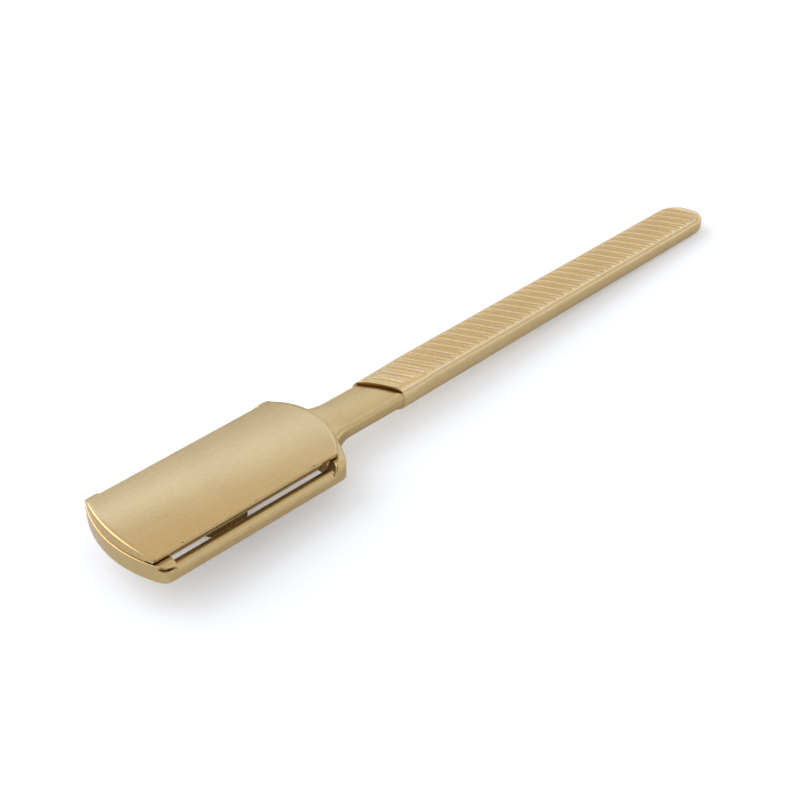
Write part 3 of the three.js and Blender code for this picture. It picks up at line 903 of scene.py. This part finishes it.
rim_x = clamp_x + NUT_FOOT
slope = min(v.co.z / (v.co.x - rim_x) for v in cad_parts["grip"].data.vertices if v.co.x > 0)
start_fresh()
bpy.ops.mesh.primitive_plane_add(
    size=TABLE_SIZE, location=(0, 0, -slope * rim_x), rotation=(0, -math.atan(slope), 0))
table = bpy.context.object
table.name = "table"
paper = bpy.data.materials.new("table white")
paper.use_nodes = True
nodes, links = paper.node_tree.nodes, paper.node_tree.links
nodes.clear()
matte = nodes.new("ShaderNodeBsdfDiffuse")
matte.inputs["Color"].default_value = TABLE_TONE
glow = nodes.new("ShaderNodeEmission")
glow.inputs["Color"].default_value = (1, 1, 1, 1)
ray = nodes.new("ShaderNodeLightPath")
lift = nodes.new("ShaderNodeMath")
lift.operation = "MULTIPLY"
lift.inputs[1].default_value = TABLE_GLOW
links.new(ray.outputs["Is Camera Ray"], lift.inputs[0])
links.new(lift.outputs["Value"], glow.inputs["Strength"])
both = nodes.new("ShaderNodeAddShader")
links.new(matte.outputs["BSDF"], both.inputs[0])
links.new(glow.outputs["Emission"], both.inputs[1])
out = nodes.new("ShaderNodeOutputMaterial")
links.new(both.outputs["Shader"], out.inputs["Surface"])
table.data.materials.append(paper)
print("table leans", round(math.degrees(math.atan(slope)), 2), "degrees")

# %% [markdown]
# ## The light
# One broad soft sun shines from the upper left. The room does the rest, because shiny metal shows what is
# around it. What the metal mirrors is a room in bands, with a bright cool strip overhead and quieter tones
# on both sides of it, as in a studio, and a dim patch on the viewer's side. Matte things see an even grey
# room, so that shadows stay neutral, and the camera sees plain white.

# %% Sun
SUN_STRENGTH = 1.2
SUN_TONE = (0.94, 1.0, 1.14)
SUN_SPREAD = math.radians(60)
SUN_PATH = Vector((0.38, -0.7, -0.6))

sun_data = bpy.data.lights.new("soft sun", "SUN")
sun_data.energy = SUN_STRENGTH
sun_data.color = SUN_TONE
sun_data.angle = SUN_SPREAD
sun = bpy.data.objects.new("soft sun", sun_data)
bpy.context.scene.collection.objects.link(sun)
sun.rotation_mode = "QUATERNION"
sun.rotation_quaternion = SUN_PATH.to_track_quat("-Z", "Y")
print("sun of strength", SUN_STRENGTH, "spread over", round(math.degrees(SUN_SPREAD)), "degrees")

# %% Bands of the room
BAND_AXIS = (-0.45, 0, 0.89)
BANDS = (
    (-0.2, (1.2, 1.2, 1.25)),
    (0.13, (0.52, 0.53, 0.56)),
    (0.21, (0.88, 0.95, 1.14)),
    (0.28, (0.89, 0.97, 1.18)),
    (0.36, (1.28, 1.49, 2.0)),
    (0.4, (1.22, 1.41, 1.87)),
    (0.46, (0.88, 0.91, 1.0)),
    (0.54, (0.87, 0.81, 0.72)),
    (0.95, (0.72, 0.71, 0.68)),
)

world = bpy.data.worlds.new("white room")
bpy.context.scene.world = world
world.use_nodes = True
tree = world.node_tree
nodes, links = tree.nodes, tree.links
place = nodes.new("ShaderNodeTexCoord").outputs["Generated"]


def add_facing(direction):
    """How far a look into the room goes towards a direction, from -1 to 1"""
    facing = nodes.new("ShaderNodeVectorMath")
    facing.operation = "DOT_PRODUCT"
    facing.inputs[1].default_value = direction
    links.new(place, facing.inputs[0])
    return facing.outputs["Value"]


bands = nodes.new("ShaderNodeValToRGB")
while len(bands.color_ramp.elements) < len(BANDS):
    bands.color_ramp.elements.new(0.5)
for stop, (height, colour) in zip(bands.color_ramp.elements, BANDS):
    stop.position = (height + 1) / 2
    stop.color = colour + (1,)
links.new(add_range(tree, add_facing(BAND_AXIS), -1, 1, 0, 1), bands.inputs["Fac"])
print("room of", len(BANDS), "bands")

# %% Dim patch, grey room and white ground
DIM_SIDE = (-0.42, -0.68, 0.6)
DIM_FROM = 0.72
DIM_TO = 0.93
DIM_LEAST = 0.12
GREY_ROOM = (0.66, 0.66, 0.67, 1)

dim = add_range(tree, add_facing(DIM_SIDE), DIM_FROM, DIM_TO, 1, DIM_LEAST)
ray = nodes.new("ShaderNodeLightPath")
mirrored = nodes.new("ShaderNodeMix")
mirrored.data_type = "RGBA"
mirrored.inputs[6].default_value = GREY_ROOM
links.new(ray.outputs["Is Glossy Ray"], mirrored.inputs[0])
links.new(add_scaled(tree, bands.outputs["Color"], dim), mirrored.inputs[7])
behind = nodes.new("ShaderNodeMix")
behind.data_type = "RGBA"
behind.inputs[7].default_value = (1, 1, 1, 1)
links.new(ray.outputs["Is Camera Ray"], behind.inputs[0])
links.new(mirrored.outputs[2], behind.inputs[6])
links.new(behind.outputs[2], nodes["Background"].inputs["Color"])
bpy.context.scene.view_settings.view_transform = "Standard"
print("white behind the tool, grey for matte things, dim on the viewer's side")
